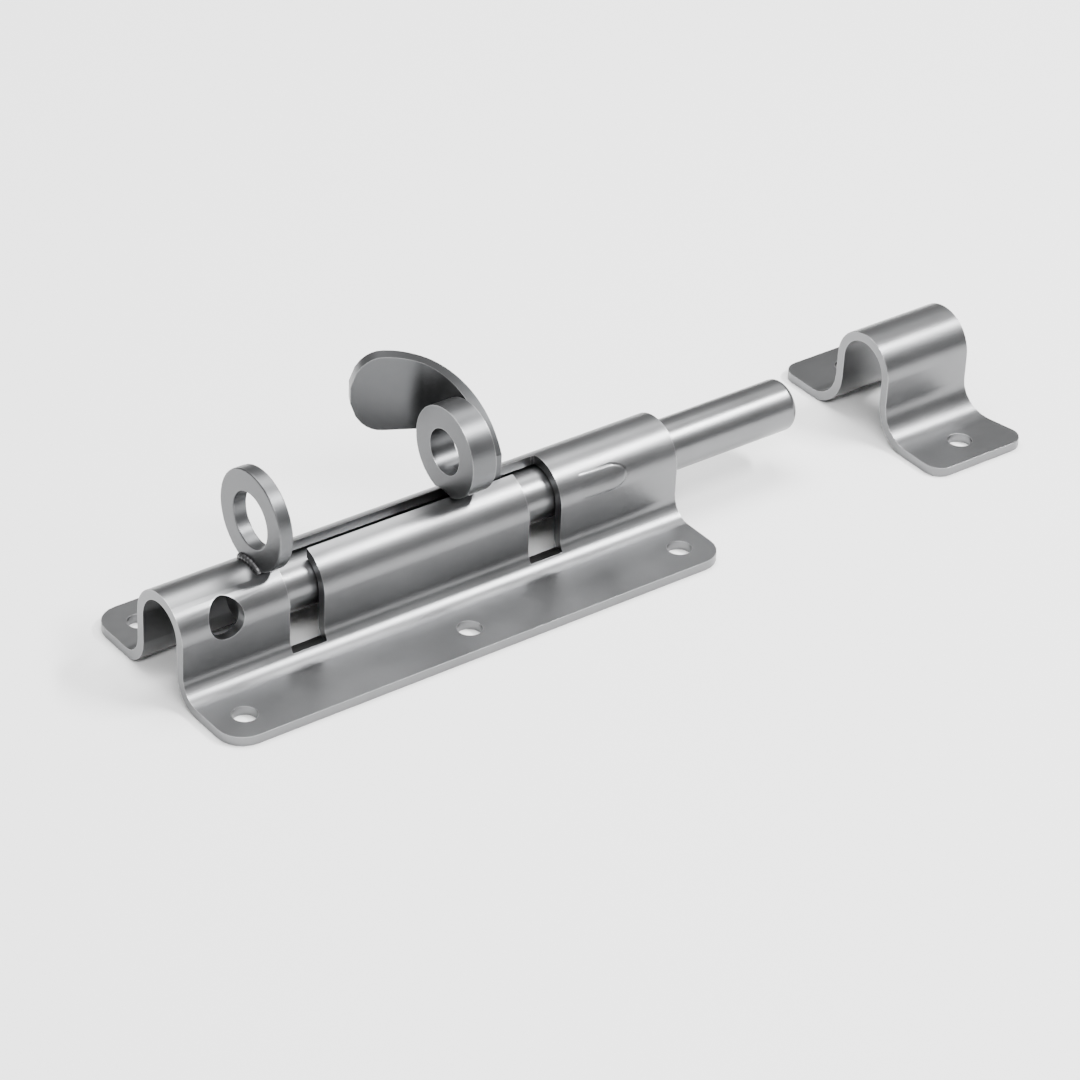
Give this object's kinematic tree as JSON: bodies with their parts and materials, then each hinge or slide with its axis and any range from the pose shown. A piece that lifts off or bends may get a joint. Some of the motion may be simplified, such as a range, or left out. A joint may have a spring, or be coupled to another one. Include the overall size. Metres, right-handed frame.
{
  "type": "barrel bolt",
  "caption": "Pressed-steel barrel bolt: round rod in a hat-section housing with an upright handle, two padlock eyes and a matching keeper.",
  "frame": {"origin": "on the mounting plane, under the middle of the set's box", "axes": "+X along the rod towards the keeper, +Z out of the mounting plane, -Y the side that the notches open to"},
  "size_m": [0.2144, 0.055, 0.048],
  "materials": {
    "pressed_steel": "satin zinc-plated or stainless sheet",
    "rod_steel": "satin drawn bar",
    "handle_steel": "satin stamped plate"
  },
  "bodies": {
    "mounting": {"housing": "pressed_steel", "fixed_eye": "handle_steel", "keeper": "pressed_steel"},
    "bolt": {"bolt_rod": "rod_steel", "handle": "handle_steel", "handle_eye": "handle_steel"}
  },
  "joints": [
    {"name": "bolt_slide", "type": "slide", "parent": "mounting", "child": "bolt", "axis": [1, 0, 0], "range_m": [-0.0448, 0.01]}
  ]
}
